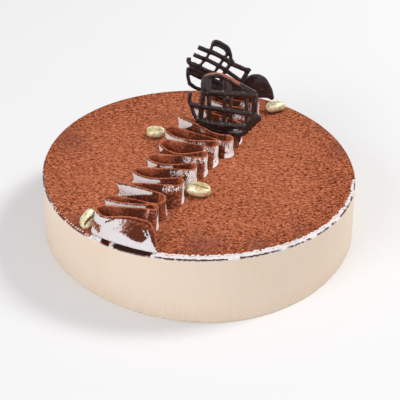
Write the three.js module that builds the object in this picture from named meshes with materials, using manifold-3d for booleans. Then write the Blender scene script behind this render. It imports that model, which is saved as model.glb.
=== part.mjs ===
// Round tiramisu cake, as a chilled mousse cake with its decoration.
// The cream body stands on its flat base, cocoa lies in a shallow recess of its top, and a piped
// cream ruffle runs across it from the front left rim to the back right, with two chocolate lattices
// pushed into it and four chocolate coffee beans beside it.
// Millimetres, +Z up. The origin is the centre of the base. The front of the cake faces -Y.

import * as THREE from 'three';
import { mergeVertices } from 'three/addons/utils/BufferGeometryUtils.js';
import Module from 'manifold-3d';

const wasm = await Module();
wasm.setup();

// Cake body
const cakeRadius = 100;
const cakeHeight = 44.6;
const baseChamfer = 1.2;
const rimRounding = 1.4;
const rimWidth = 2.4;
const cocoaDepth = 1.2;
const roundSteps = 84;

// Out-of-round shape of the hand-finished side: size in mm and phase in degrees for each wave count
const topWaves = [[2, 1.49, 250], [3, 0.55, 291], [4, 0.62, 208]];
const baseWaves = [[2, 0.85, 263], [3, 1.22, 121], [4, 0.5, 52]];
const baseShift = [1.4, 0.3];

// Ruffle: a frame of its own, X across the row and Y along it, towards the back of the cake
const rowCentre = [-20.6, -21];
const rowTurn = -25.4;
const ruffleHeight = 11.4;
const ruffleGap = 0.1;
const crestThickness = 1.5;
const footThickness = 3.2;
const tipPitch = 17.2;
const firstTip = -54.8;
const secondTip = -42.5;
const loopPitch = 15.7;
const secondLoop = -38.5;
const loopNudge = [0, 0, -6.8, -0.6, 2.4, 2.6, 1.2, -4.4, -2, 0, 0.4];
const tipReach = [18.2, 19, 20, 17.6, 16.6, 17.6, 22, 20, 19, 17, 15];
const loopReach = [23, 15, 15, 16.6, 16.2, 16.2, 17, 22.6, 21, 20, 18.6];
const loopHalf = [3, 2.6, 6, 4.6, 4.2, 4, 4, 4.4, 4.2, 4.2, 4];
const tipRound = 1.5;
const tipFootRound = 2.2;
const tipFootInset = 2;
const tipWaist = 2.6;
const loopLean = 5.6;
const loopFootInset = 1.5;
const foldClearance = 1;
const levels = [0, 0.16, 0.55, 1];

// Broad first pass of the ruffle, whose foot follows the rim of the cake
const faceCrestAcross = [-16.4, 23.4];
const faceFootAcross = [-19.6, 26.4];
const faceFootRadius = 95.4;
const faceCrestStart = -1.2;
const faceCrestBulge = 2.6;
const faceHookStart = 0.8;
const faceHook = 5;
const faceEndDrop = 0.72;

// Chocolate coffee beans: place, share of the full size, and turn, tilt and roll in degrees.
// The first one leans on the ruffle's front tip, so its middle is lifted.
const beanSize = [16.4, 11, 8.6];
const grooveRadius = 0.8;
const grooveBend = 0.06;
const beanGap = 0.1;
const beanSpots = [
  { at: [-65.4, -62.6], share: 0.88, turn: 60, tilt: 24, roll: -14, lift: 1.2 },
  { at: [0.4, -32.6], share: 1, turn: -15, tilt: 0, roll: 6, lift: 0 },
  { at: [-28.6, 37.2], share: 0.86, turn: -3, tilt: 0, roll: 4, lift: 0 },
  { at: [52.6, 72.4], share: 0.9, turn: 25, tilt: 0, roll: -6, lift: 0 },
];

// Chocolate lattices, piped flat and stood up in the ruffle
const barThickness = 2.6;
const latticeClearance = 0.35;
const frontStand = { at: [18, 28, 46], yaw: -10, lean: 8, turn: 0 };
const backStand = { at: [26, 66, 44.6], yaw: 0, lean: 10, turn: -28 };

const radians = THREE.MathUtils.degToRad;
const lerp = THREE.MathUtils.lerp;

function makeMesh(name, geometry, look) {
  geometry.computeVertexNormals();
  const mesh = new THREE.Mesh(geometry, new THREE.MeshStandardMaterial(look));
  mesh.name = name;
  return mesh;
}

function toSolid(geometry) {
  geometry.deleteAttribute('normal');
  geometry.deleteAttribute('uv');
  const merged = mergeVertices(geometry, 1e-4);
  return new wasm.Manifold(new wasm.Mesh({
    numProp: 3,
    vertProperties: new Float32Array(merged.attributes.position.array),
    triVerts: new Uint32Array(merged.index.array),
  }));
}

function toGeometry(solid) {
  const { vertProperties, triVerts } = solid.getMesh();
  const geometry = new THREE.BufferGeometry();
  geometry.setAttribute('position', new THREE.BufferAttribute(new Float32Array(vertProperties), 3));
  geometry.setIndex(new THREE.BufferAttribute(new Uint32Array(triVerts), 1));
  return geometry;
}

function unite(geometries) {
  return geometries.map(toSolid).reduce((whole, piece) => whole.add(piece));
}

// The body of a cut solid without the loose scraps that the cut leaves
function largestPiece(solid) {
  return solid.decompose().reduce((best, piece) => (piece.volume() > best.volume() ? piece : best));
}

// Radius of the cake's side at an angle, from its base (share 0) to its rim (share 1)
function sideRadius(angle, share) {
  const ripple = (waves) => waves.reduce(
    (sum, [count, size, phase]) => sum + size * Math.cos(count * angle - radians(phase)), 0);
  const shift = baseShift[0] * Math.cos(angle) + baseShift[1] * Math.sin(angle);
  return cakeRadius + lerp(ripple(baseWaves) + shift, ripple(topWaves), share);
}

// A lathed solid whose rings follow the cake's own outline. Each profile point is its inset from the
// side and its height, or null for the axis.
function outlineSolid(profile) {
  const points = profile.map(([inset, z]) => new THREE.Vector2(inset === null ? 0 : cakeRadius - inset, z));
  const geometry = new THREE.LatheGeometry(points, roundSteps);
  geometry.rotateX(Math.PI / 2);
  const position = geometry.attributes.position;
  for (let i = 0; i < position.count; i += 1) {
    const x = position.getX(i);
    const y = position.getY(i);
    const radius = Math.hypot(x, y);
    if (radius < 1) continue;
    const z = position.getZ(i);
    const wanted = radius - cakeRadius + sideRadius(Math.atan2(y, x), z / cakeHeight);
    position.setXY(i, (x / radius) * wanted, (y / radius) * wanted);
  }
  return toGeometry(toSolid(geometry));
}

function makeBody() {
  const floor = cakeHeight - cocoaDepth;
  return outlineSolid([
    [null, 0],
    [baseChamfer, 0],
    [0, baseChamfer],
    [0, cakeHeight * 0.5],
    [0, cakeHeight - rimRounding],
    [rimRounding * 0.3, cakeHeight - rimRounding * 0.3],
    [rimRounding, cakeHeight],
    [rimWidth, cakeHeight],
    [rimWidth, floor],
    [null, floor],
  ]);
}

function makeCocoa() {
  const edge = rimWidth + 0.3;
  const floor = cakeHeight - cocoaDepth;
  return outlineSolid([
    [null, floor],
    [edge, floor],
    [edge, cakeHeight - 0.4],
    [edge + 0.5, cakeHeight],
    [null, cakeHeight],
  ]);
}

// A closed solid through a row of sections, each a ladder of left and right points by level
function ladderSolid(sections) {
  const rungs = sections[0].length;
  const vertices = sections.flatMap((section) => section.flatMap(([left, right]) => [...left, ...right]));
  const id = (station, rung, side) => (station * rungs + rung) * 2 + side;
  const faces = [];
  const quad = (a, b, c, d) => faces.push(a, b, c, a, c, d);
  const last = sections.length - 1;
  for (let s = 0; s < last; s += 1) {
    for (let r = 0; r < rungs - 1; r += 1) {
      quad(id(s, r, 0), id(s, r + 1, 0), id(s + 1, r + 1, 0), id(s + 1, r, 0));
      quad(id(s, r, 1), id(s + 1, r, 1), id(s + 1, r + 1, 1), id(s, r + 1, 1));
    }
    quad(id(s, 0, 0), id(s + 1, 0, 0), id(s + 1, 0, 1), id(s, 0, 1));
    quad(id(s, rungs - 1, 0), id(s, rungs - 1, 1), id(s + 1, rungs - 1, 1), id(s + 1, rungs - 1, 0));
  }
  for (let r = 0; r < rungs - 1; r += 1) {
    quad(id(0, r, 0), id(0, r, 1), id(0, r + 1, 1), id(0, r + 1, 0));
    quad(id(last, r, 0), id(last, r + 1, 0), id(last, r + 1, 1), id(last, r, 1));
  }
  const geometry = new THREE.BufferGeometry();
  geometry.setAttribute('position', new THREE.Float32BufferAttribute(vertices, 3));
  geometry.setIndex(faces);
  return geometry;
}

const tipAlong = (fold) => (fold === 0 ? firstTip : secondTip + tipPitch * (fold - 1));
const loopAlong = (fold) => secondLoop + loopPitch * (fold - 1) + loopNudge[fold];

// Rounded turn at the left end of a fold, from its back side to its front side
function tipTurn(fold, level) {
  const inset = tipFootInset * (1 - level) + tipWaist * Math.sin(Math.PI * level);
  const round = lerp(tipFootRound, tipRound, level);
  const centre = -tipReach[fold] + inset + round;
  return [90, 150, 210, 270].map((degrees) => [
    centre + round * Math.cos(radians(degrees)),
    tipAlong(fold) + round * Math.sin(radians(degrees)),
  ]);
}

// Wide turn at the right end of a fold. Its front leans back, so its foot stands further forward, up
// to the back of the next fold.
function loopTurn(fold, level) {
  const back = loopAlong(fold) + loopHalf[fold];
  const nextBack = fold === 1 ? firstTip : loopAlong(fold - 1) + loopHalf[fold - 1];
  const crest = loopAlong(fold) - loopHalf[fold];
  const foot = Math.max(crest - loopLean, Math.min(crest, nextBack + foldClearance));
  const front = lerp(foot, crest, level);
  const half = (back - front) / 2;
  const across = loopHalf[fold] + loopFootInset * (1 - level);
  const centre = loopReach[fold] - across;
  return [90, 54, 18, -18, -54, -90].map((degrees) => [
    centre + across * Math.cos(radians(degrees)),
    (back + front) / 2 + half * Math.sin(radians(degrees)),
  ]);
}

const between = (from, to, shares) => shares.map((share) => [
  lerp(from[0], to[0], share),
  lerp(from[1], to[1], share),
]);

// How far the end of the first pass has hooked round and dropped, from 0 to 1
const hookShare = (share) => Math.max(0, (share - faceHookStart) / (1 - faceHookStart));

// The broad first pass lies back from a foot that follows the rim to a crest over the row's first tip
function frontFace(level) {
  const centre = new THREE.Vector2(...rowCentre).negate().rotateAround(new THREE.Vector2(), -radians(rowTurn));
  const shares = [0.04, 0.14, 0.27, 0.4, 0.53, 0.66, 0.78, 0.89, 1];
  return shares.map((share) => {
    const crest = [
      lerp(...faceCrestAcross, share),
      firstTip + faceCrestStart + faceCrestBulge * Math.sin(Math.PI * share) - faceHook * hookShare(share) ** 2,
    ];
    const footAcross = lerp(...faceFootAcross, share);
    const rim = centre.y - Math.sqrt(faceFootRadius ** 2 - (footAcross - centre.x) ** 2);
    const foot = [footAcross, lerp(firstTip - tipFootInset, rim, Math.min(1, share * (shares.length - 1)))];
    return [lerp(foot[0], crest[0], level), lerp(foot[1], crest[1], level)];
  });
}

// Left and right edges of the ribbon at each station of one stretch of its route
function ribbonStretch(routeAt, heightAt) {
  const routes = levels.map(routeAt);
  const count = routes[0].length;
  return routes[0].map((_, station) => levels.map((level, index) => {
    const route = routes[index];
    const here = route[station];
    const before = route[Math.max(0, station - 1)];
    const after = route[Math.min(count - 1, station + 1)];
    const length = Math.hypot(after[0] - before[0], after[1] - before[1]);
    const side = [(after[1] - before[1]) / length, (before[0] - after[0]) / length];
    const half = (lerp(footThickness, crestThickness, Math.sqrt(level)) / 2);
    const z = level * ruffleHeight * heightAt(station / (count - 1));
    return [
      [here[0] - side[0] * half, here[1] - side[1] * half, z],
      [here[0] + side[0] * half, here[1] + side[1] * half, z],
    ];
  }));
}

function makeRuffle() {
  const stretches = [];
  const full = () => 1;
  for (let fold = tipReach.length - 1; fold > 0; fold -= 1) {
    stretches.push(ladderSolid(ribbonStretch((level) => {
      const tip = tipTurn(fold, level);
      const loop = loopTurn(fold, level);
      return [...tip, ...between(tip[3], loop[0], [0.3, 0.6, 0.85]), ...loop.slice(0, 4)];
    }, full)));
    stretches.push(ladderSolid(ribbonStretch((level) => {
      const loop = loopTurn(fold, level);
      const next = tipTurn(fold - 1, level);
      return [...loop.slice(2), ...between(loop[5], next[0], [0.15, 0.4, 0.7]), ...next.slice(0, 3)];
    }, full)));
  }
  const taper = (share) => 1 - faceEndDrop * hookShare(share) ** 2;
  stretches.push(ladderSolid(ribbonStretch((level) => [...tipTurn(0, level), ...frontFace(level)], taper)));
  return unite(stretches);
}

// Seamed coffee bean: an egg-round body with a bent groove along its upper face
function makeBean(share) {
  const [length, width, height] = beanSize.map((size) => size * share);
  const body = new THREE.SphereGeometry(0.5, 14, 9);
  body.scale(length, width, height);
  const groove = [-0.42, -0.2, 0, 0.2, 0.42].map((share) => new THREE.Vector3(
    share * length,
    -grooveBend * width * Math.sin(share * 2 * Math.PI),
    height * 0.5 * Math.sqrt(1 - (2 * share) ** 2) + grooveRadius * 0.4,
  ));
  const corners = [0, 60, 120, 180, 240, 300].map((degrees) => (
    new THREE.Vector2(grooveRadius * Math.cos(radians(degrees)), grooveRadius * Math.sin(radians(degrees)))));
  const cutter = new THREE.ExtrudeGeometry(new THREE.Shape(corners), {
    steps: 6,
    extrudePath: new THREE.CatmullRomCurve3(groove),
  });
  return toGeometry(toSolid(body).subtract(toSolid(cutter)));
}

// One piped bar through points in the lattice's own plane, wider than it is thick
function pipedBar(points, width, extra) {
  const path = new THREE.CatmullRomCurve3(points.map(([x, y]) => new THREE.Vector3(x, y, 0)));
  const wide = width / 2 + extra;
  const thick = barThickness / 2 + extra;
  const section = new THREE.Shape([
    [thick, wide * 0.45], [0, wide], [-thick, wide * 0.45],
    [-thick, -wide * 0.45], [0, -wide], [thick, -wide * 0.45],
  ].map(([x, y]) => new THREE.Vector2(x, y)));
  const steps = points.length > 4 ? (points.length - 1) * 2 : points.length - 1;
  return new THREE.ExtrudeGeometry(section, { steps, extrudePath: path });
}

// Solid puddle of chocolate inside a smooth outline
function puddle(outline, extra) {
  const curve = new THREE.SplineCurve(outline.map(([x, y]) => new THREE.Vector2(x, y)));
  const shape = new THREE.Shape(curve.getPoints(outline.length * 2));
  const geometry = new THREE.ExtrudeGeometry(shape, {
    depth: barThickness * 0.5,
    bevelThickness: barThickness * 0.25 + extra,
    bevelSize: 0.5 + extra,
    bevelOffset: -0.5,
    bevelSegments: 1,
  });
  geometry.translate(0, 0, -barThickness * 0.25);
  return geometry;
}

// Upright lines, cross lines, spike and pointed foot of the round front lattice
function frontLattice(extra) {
  const bar = (width, ...points) => pipedBar(points, width, extra);
  return unite([
    bar(3.4, [-24, 33.4], [-24.8, 27], [-22.4, 18.6], [-18, 13], [-11, 8.6], [-2, 6.6], [13.8, 7.8]),
    bar(3.8, [-16.4, 34], [-15.2, 42], [-12, 45], [-6, 46], [0, 44.6], [6, 41.4], [11, 39], [18.4, 35.6]),
    bar(3.6, [-15.2, 42.4], [-15.6, 24], [-17, 13]),
    bar(3.9, [-12.2, 44.4], [-11.4, 24], [-9, 8]),
    bar(3.4, [-3, 45.4], [-1.2, 36], [-1.6, 25], [-1.6, 7]),
    bar(3.2, [0.4, 44.4], [2, 36], [2.6, 25], [3.2, 7]),
    bar(3, [10, 39.4], [12.7, 32], [12.9, 22], [13.6, 8]),
    bar(4, [19, 36], [17.8, 28], [17.5, 20], [13.4, 7.8]),
    bar(3.8, [-16.4, 34.8], [0, 35.6], [18.6, 36]),
    bar(3.8, [-24.6, 24.8], [-9, 23], [4, 22.4], [17.8, 20.8], [21.6, 19.6]),
    bar(4.6, [-19, 13.8], [-2, 13], [6, 12.8], [16.6, 13.6]),
    bar(3.4, [16.4, 13], [22.4, 19]),
    bar(3, [5, 8], [7.4, 0.4]),
    bar(3, [9.4, 8], [8, 1]),
  ]);
}

// Long lines, cross lines and the solid right end of the back lattice, before it is turned
function backLattice(extra) {
  const bar = (width, ...points) => pipedBar(points, width, extra);
  return unite([
    bar(4.8, [-38.4, 37.4], [-34.4, 38.6], [-28, 38.4], [-23.6, 36.4], [-20.6, 31.4]),
    bar(3.6, [-45.6, 29.8], [-30, 31.6], [-7.4, 30.8]),
    bar(2.9, [-46, 24.8], [-24, 24.2], [-7, 22]),
    bar(3.4, [-46.6, 18.4], [-30, 18.8], [-8, 18]),
    bar(2.6, [-48, 21.4], [-46.2, 18]),
    bar(5, [-44.6, 13.6], [-20, 13.8], [-4, 16.6]),
    bar(3.2, [-44.4, 14], [-43.4, 9.6], [-39.4, 4.8]),
    bar(3.4, [-40.2, 4.6], [-28, 5], [-14, 6], [2, 9], [10, 15]),
    bar(2.9, [-38, 37.6], [-37.4, 28], [-40.2, 18]),
    bar(2.4, [-30, 37], [-27.8, 32]),
    bar(3, [-23.4, 36.4], [-26, 26], [-28, 5.4]),
    bar(3.6, [-20.4, 33.4], [-20.8, 24], [-18, 5.6], [-16, -3]),
    bar(3.4, [-7.4, 33.2], [-8.6, 24], [-6, 7], [-4, 1.4]),
    puddle([[-8, 21], [-6.6, 27], [-3, 31], [3, 32.4], [9.6, 29.2], [14.2, 25.2], [16.2, 21],
      [12.6, 20.4], [7, 17.6], [3, 15.4], [-3, 17.6]], extra),
  ]);
}

function standUp(mesh, stand) {
  const turned = new THREE.Group();
  turned.rotation.z = radians(stand.turn);
  turned.add(mesh);
  const leaning = new THREE.Group();
  leaning.rotation.x = Math.PI / 2 - radians(stand.lean);
  leaning.add(turned);
  const placed = new THREE.Group();
  placed.rotation.z = radians(stand.yaw);
  placed.position.set(...stand.at);
  placed.add(leaning);
  return placed;
}

// A solid moved to where its mesh stands in the finished cake
function inPlace(solid, group) {
  const geometry = toGeometry(solid);
  const probe = new THREE.Object3D();
  group.updateMatrixWorld(true);
  group.traverse((child) => probe.matrix.copy(child.matrixWorld));
  geometry.applyMatrix4(probe.matrix);
  return toSolid(geometry);
}

const creamLook = { color: 0xeedfcb, roughness: 0.6, metalness: 0 };
const cocoaLook = { color: 0x8c4a2e, roughness: 0.95, metalness: 0 };
const ruffleLook = { color: 0xf4ece4, roughness: 0.6, metalness: 0 };
const goldLook = { color: 0xd9c98c, roughness: 0.35, metalness: 0.7 };
const chocolateLook = { color: 0x33231f, roughness: 0.25, metalness: 0 };

const cake = new THREE.Group();
cake.add(makeMesh('cake_body', makeBody(), creamLook));
cake.add(makeMesh('cocoa_top', makeCocoa(), cocoaLook));

const ruffleGroup = new THREE.Group();
ruffleGroup.position.set(...rowCentre, cakeHeight + ruffleGap);
ruffleGroup.rotation.z = radians(rowTurn);

let ruffle = inPlace(makeRuffle(), ruffleGroup);
for (const [name, build, stand] of [
  ['chocolate_lattice_front', frontLattice, frontStand],
  ['chocolate_lattice_back', backLattice, backStand],
]) {
  cake.add(standUp(makeMesh(name, toGeometry(build(0)), chocolateLook), stand));
  ruffle = ruffle.subtract(inPlace(build(latticeClearance), standUp(new THREE.Object3D(), stand)));
}
cake.add(makeMesh('cream_ruffle', toGeometry(largestPiece(ruffle)), ruffleLook));

beanSpots.forEach(({ at, share, turn, tilt, roll, lift }, index) => {
  const bean = makeMesh(`coffee_bean_${index + 1}`, makeBean(share), goldLook);
  bean.position.set(...at, cakeHeight + (beanSize[2] * share) / 2 + lift + beanGap);
  bean.rotation.set(radians(roll), radians(-tilt), radians(turn), 'ZYX');
  cake.add(bean);
});

export default cake;
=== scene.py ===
import math

import bpy
from mathutils import Matrix, Vector, noise
from mathutils.kdtree import KDTree


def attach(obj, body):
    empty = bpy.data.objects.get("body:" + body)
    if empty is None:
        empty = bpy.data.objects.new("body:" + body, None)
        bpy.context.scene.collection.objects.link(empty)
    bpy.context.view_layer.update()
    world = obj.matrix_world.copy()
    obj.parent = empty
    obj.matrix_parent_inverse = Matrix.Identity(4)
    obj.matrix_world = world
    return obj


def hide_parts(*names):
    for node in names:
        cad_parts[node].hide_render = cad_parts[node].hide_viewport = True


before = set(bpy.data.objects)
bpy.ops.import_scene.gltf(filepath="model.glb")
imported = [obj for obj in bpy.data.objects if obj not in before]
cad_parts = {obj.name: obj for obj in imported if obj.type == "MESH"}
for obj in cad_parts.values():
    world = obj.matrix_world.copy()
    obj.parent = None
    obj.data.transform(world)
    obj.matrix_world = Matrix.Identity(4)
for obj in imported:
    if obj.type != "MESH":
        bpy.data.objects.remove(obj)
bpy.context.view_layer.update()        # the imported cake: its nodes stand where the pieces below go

# Everything is modelled in millimetres and scaled to metres when it is finished
metre = 0.001
cakeHeight = 44.6
cakeRadius = 100.0
nearly = 0.01            # two heights or radii this close are the same
noise.seed_set(1)        # noise_vector, which swirls the cocoa powder, starts from this


# Small helpers

def lerp(a, b, share):
    return a + (b - a) * share


def clamp(value, low=0.0, high=1.0):
    return max(low, min(high, value))


# Smoothly from 0 to 1 on the way from low to high; fall goes from 1 to 0
def rise(low, high, value):
    share = clamp((value - low) / (high - low))
    return share * share * (3 - 2 * share)


def fall(low, high, value):
    return 1 - rise(low, high, value)


# 1 between two limits, fading over them
def between(low, high, value, soft):
    return rise(low - soft, low + soft, value) * fall(high - soft, high + soft, value)


# Evenly spaced values from 0 to 1
def shares(count):
    return [i / (count - 1) for i in range(count)]


# Turned round its own axes, one turn after the other in degrees, and moved to its place
def placement(place, *turns):
    matrix = Matrix.Translation(place)
    for axis, degrees in turns:
        matrix = matrix @ Matrix.Rotation(math.radians(degrees), 4, axis)
    return matrix


def setMode(mode):
    bpy.ops.object.mode_set(mode=mode)


def onlySelected(*pieces):
    bpy.ops.object.select_all(action="DESELECT")
    for piece in pieces:
        piece.select_set(True)
    bpy.context.view_layer.objects.active = pieces[0]


def applyModifiers(piece):
    onlySelected(piece)
    for modifier in list(piece.modifiers):
        bpy.ops.object.modifier_apply(modifier=modifier.name)


# Leaves the piece in edit mode, with the wanted ones of its faces or edges selected
def selectParts(piece, kind, wanted):
    setMode("EDIT")
    bpy.ops.mesh.select_mode(type=kind)
    bpy.ops.mesh.select_all(action="DESELECT")
    setMode("OBJECT")
    for part in piece.data.edges if kind == "EDGE" else piece.data.polygons:
        part.select = wanted(part)
    setMode("EDIT")


# wanted(a, b) is asked about the two ends of each edge
def selectEdges(piece, wanted):
    selectParts(piece, "EDGE", lambda edge: wanted(*(piece.data.vertices[i].co for i in edge.vertices)))


# One row of numbers for each vertex, painted under one name for each column, which the materials read
def paint(piece, names, rows):
    for name, values in zip(names, zip(*rows)):
        layer = piece.data.attributes.new(name, "FLOAT", "POINT")
        layer.data.foreach_set("value", values)


# Scales the finished piece to metres, and gives it its finish, its body and the nodes that it stands for
def finishPiece(piece, name, material, slot, *nodes):
    piece.name = name
    piece.data.name = name
    piece.data.transform(Matrix.Scale(metre, 4))
    piece.data.materials.clear()
    piece.data.materials.append(material)
    piece.data.shade_smooth()
    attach(piece, "root")
    if nodes:
        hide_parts(*nodes)
    print(name, "done:", len(piece.data.polygons), "faces")


# Shader helpers

# The value is a number, a colour or another node's socket
def plugIn(tree, socket, value):
    if isinstance(value, bpy.types.NodeSocket):
        tree.links.new(value, socket)
    else:
        socket.default_value = value


# i2 names the node's input 2, and _ in a name is a space
def addNode(tree, kind, settings=None, **inputs):
    node = tree.nodes.new("ShaderNode" + kind)
    for name, value in (settings or {}).items():
        setattr(node, name, value)
    for name, value in inputs.items():
        numbered = name[0] == "i" and name[1:].isdigit()
        plugIn(tree, node.inputs[int(name[1:]) if numbered else name.replace("_", " ")], value)
    return node


def maths(tree, operation, first, second=0.0, clampIt=False):
    settings = {"operation": operation, "use_clamp": clampIt}
    return addNode(tree, "Math", settings, i0=first, i1=second).outputs[0]


def added(tree, first, *others):
    for other in others:
        first = maths(tree, "ADD", first, other)
    return first


def times(tree, first, second):
    return maths(tree, "MULTIPLY", first, second)


# Moves a value from one range to another and holds it there
def ranged(tree, value, low, high, start=0.0, end=1.0):
    limits = {"From_Min": low, "From_Max": high, "To_Min": start, "To_Max": end}
    return addNode(tree, "MapRange", Value=value, **limits).outputs[0]


# Noise stays mostly between a quarter and three quarters: here it runs from -reach to reach
def spread(tree, value, reach):
    return ranged(tree, value, 0.25, 0.75, -reach, reach)


def mixed(tree, share, first, second):
    return addNode(tree, "Mix", {"data_type": "RGBA"}, i0=share, i6=first, i7=second).outputs[2]


def noiseAt(tree, vector, scale, detail=3.0, roughness=0.5, distortion=0.0):
    return addNode(tree, "TexNoise", Vector=vector, Scale=scale, Detail=detail,
                   Roughness=roughness, Distortion=distortion).outputs[0]


def stretched(tree, vector, x, y, z):
    return addNode(tree, "Mapping", Vector=vector, Scale=(x, y, z)).outputs[0]


def bumped(tree, height, strength, distance):
    return addNode(tree, "Bump", Strength=strength, Distance=distance, Height=height).outputs[0]


def objectPoint(tree):
    return addNode(tree, "TexCoord").outputs["Object"]


def painted(tree, name):
    return addNode(tree, "Attribute", {"attribute_name": name}).outputs["Fac"]


def newFinish(name):
    material = bpy.data.materials.new(name)
    material.use_nodes = True
    return material, material.node_tree, material.node_tree.nodes["Principled BSDF"]


def setShader(tree, shader, **inputs):
    for name, value in inputs.items():
        plugIn(tree, shader.inputs[name.replace("_", " ")], value)


# A node group with named sockets
def newEffect(name, inputs, outputs):
    group = bpy.data.node_groups.new(name, "ShaderNodeTree")
    for socketName, kind, value in inputs:
        socket = group.interface.new_socket(socketName, in_out="INPUT", socket_type="NodeSocket" + kind)
        socket.default_value = value
    for socketName, kind in outputs:
        group.interface.new_socket(socketName, in_out="OUTPUT", socket_type="NodeSocket" + kind)
    return group, group.nodes.new("NodeGroupInput").outputs, group.nodes.new("NodeGroupOutput").inputs


def useEffect(tree, group, **inputs):
    return addNode(tree, "Group", {"node_tree": group}, **inputs).outputs


# Camera, first, at the angle of the photograph: place in mm, tilt and roll in degrees
view = {"place": (1.4, -695.8, 488.4), "tilt": 56.02, "roll": 0.164, "lens": 117.0, "sensor": 36.0}


def makeCamera():
    data = bpy.data.cameras.new("camera")
    data.lens = view["lens"]
    data.sensor_width = view["sensor"]
    camera = bpy.data.objects.new("camera", data)
    bpy.context.scene.collection.objects.link(camera)
    place = Vector(view["place"]) * metre
    camera.matrix_world = placement(place, ("X", view["tilt"]), ("Z", view["roll"]))
    bpy.context.scene.camera = camera


makeCamera()
print("camera stands")


# Cocoa, seen on the top, on the ruffle and along the rim. In all the looks, a noise is given by its scale
# in waves a metre, and a reach is how far it moves the tone.
cocoaLook = {
    "pale": (0.66, 0.235, 0.125, 1),
    "middle": (0.42, 0.112, 0.046, 1),
    "deep": (0.10, 0.020, 0.008, 1),
    "damp": (0.20, 0.062, 0.042, 1),
    "stops": (0.1, 0.45, 0.9),
    "ripple": 540.0,
    "rippleSquash": 1.6,
    "rippleReach": (-0.44, 0.56),
    "grain": 1300.0,
    "grainReach": 0.34,
    "cloud": 16.0,
    "cloudReach": 0.05,
    "whiteCrumbs": 700.0,
    "bumpDepth": 0.0008,
}


# Tone shifts the powder from deep (0) over middle (0.5) to pale (1), and Pattern is the strength of its grain
def makeCocoaEffect():
    tree, given, out = newEffect(
        "cocoaDust",
        [("Tone", "Float", 0.5), ("Damp", "Float", 0.0), ("Pattern", "Float", 1.0)],
        [("Color", "Color"), ("Height", "Float")],
    )
    point = objectPoint(tree)
    squashed = stretched(tree, point, 1.0, cocoaLook["rippleSquash"], 1.0)
    ripple = noiseAt(tree, squashed, cocoaLook["ripple"], 2.0, 0.5, 0.6)
    grain = noiseAt(tree, point, cocoaLook["grain"], 2.0, 0.6)
    cloud = noiseAt(tree, point, cocoaLook["cloud"], 2.0, 0.5)
    rippleTone = ranged(tree, ripple, 0.25, 0.75, *cocoaLook["rippleReach"])
    pattern = added(tree, rippleTone, spread(tree, grain, cocoaLook["grainReach"]))
    tone = added(tree, given["Tone"], times(tree, pattern, given["Pattern"]))
    cloudTone = ranged(tree, cloud, 0.3, 0.7, -cocoaLook["cloudReach"], cocoaLook["cloudReach"])
    ramp = addNode(tree, "ValToRGB", Fac=added(tree, tone, cloudTone))
    deepStop, middleStop, paleStop = cocoaLook["stops"]
    stops = ramp.color_ramp.elements
    stops[0].position, stops[0].color = deepStop, cocoaLook["deep"]
    stops[1].position, stops[1].color = paleStop, cocoaLook["pale"]
    stops.new(middleStop).color = cocoaLook["middle"]
    colour = mixed(tree, given["Damp"], ramp.outputs[0], cocoaLook["damp"])
    tree.links.new(colour, out["Color"])
    height = added(tree, times(tree, ripple, 0.75), times(tree, grain, 0.25))
    tree.links.new(height, out["Height"])
    return tree


# White cream left bare in drips and fine upright streaks, where a piece is painted as bare
bareLook = {
    "streak": 1500.0,
    "streakReach": 0.34,
    "speck": 1500.0,
    "speckReach": 0.14,
    "drip": 420.0,
    "dripReach": 0.1,
    "edge": (0.36, 0.7),
}


def makeBareEffect():
    tree, given, out = newEffect("bareCream", [("Bare", "Float", 0.0)], [("Mask", "Float")])
    point = objectPoint(tree)
    streak = noiseAt(tree, stretched(tree, point, 1.0, 1.0, 0.14), bareLook["streak"], 2.0, 0.5)
    speck = noiseAt(tree, point, bareLook["speck"], 2.0, 0.6)
    drip = noiseAt(tree, stretched(tree, point, 1.0, 1.0, 0.3), bareLook["drip"], 2.0, 0.5)
    edge = added(
        tree, given["Bare"],
        spread(tree, streak, bareLook["streakReach"]),
        spread(tree, speck, bareLook["speckReach"]),
        spread(tree, drip, bareLook["dripReach"]),
    )
    tree.links.new(ranged(tree, edge, *bareLook["edge"]), out["Mask"])
    return tree


cocoaEffect = makeCocoaEffect()
bareEffect = makeBareEffect()

creamLook = {
    "side": (0.81, 0.675, 0.55, 1),
    "sideWarm": (0.79, 0.645, 0.50, 1),
    "foot": (0.72, 0.57, 0.42, 1),
    "footBand": 0.016,            # height in metres
    "white": (0.97, 0.935, 0.93, 1),
    "blush": (0.88, 0.77, 0.75, 1),
    # painted shadow on the rim, under the ruffle's overhanging front wall
    "overhangShadow": (0.028, 0.008, 0.005, 1),
    "line": (0.075, 0.022, 0.013, 1),
    "shaded": (0.69, 0.64, 0.64, 1),
    "rim": (0.82, 0.77, 0.76, 1),
    "blotch": 22.0,
    "footStreak": 520.0,
    "skin": 240.0,
    "crumb": 700.0,
    "veil": 420.0,
}
# The white band along the rim and the dark line outside it: edges and widths are in mm, as its marks are
rimLook = {"fine": 620.0, "fineReach": 1.1, "rough": 190.0, "roughReach": 0.4, "bandEdge": 0.12,
           "lineHalf": (0.6, 0.3), "lineReach": 0.3, "breaks": 150.0, "shade": 420.0}


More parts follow.
